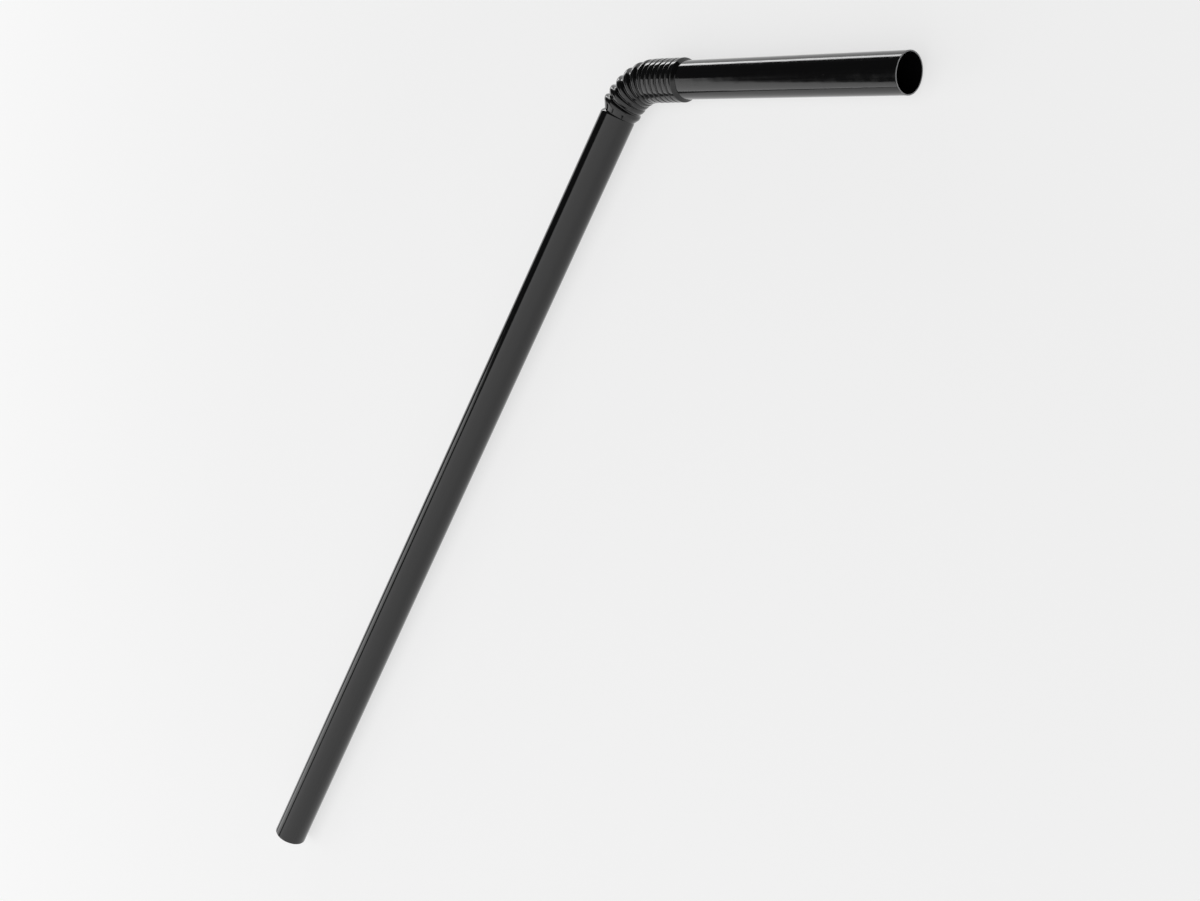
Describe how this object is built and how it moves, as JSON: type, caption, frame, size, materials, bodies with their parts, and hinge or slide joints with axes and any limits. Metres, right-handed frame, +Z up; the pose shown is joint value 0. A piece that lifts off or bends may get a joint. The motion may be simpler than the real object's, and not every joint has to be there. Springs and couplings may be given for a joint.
{
  "type": "flexible drinking straw",
  "caption": "Black plastic drinking straw: a thin plain tube with a folded bellows near the mouth end, bent to one side and lying flat, open at both cut ends.",
  "frame": {"origin": "under the middle of the straw's box, on the surface that it lies on", "axes": "+X along the stem towards the bellows, -Y the side that the mouth end is bent to, +Z up from the surface, square to the bend"},
  "size_m": [0.1776, 0.0556, 0.0069],
  "materials": {
    "black_polypropylene": "gloss"
  },
  "bodies": {
    "root": {"straw": "black_polypropylene"}
  },
  "joints": []
}
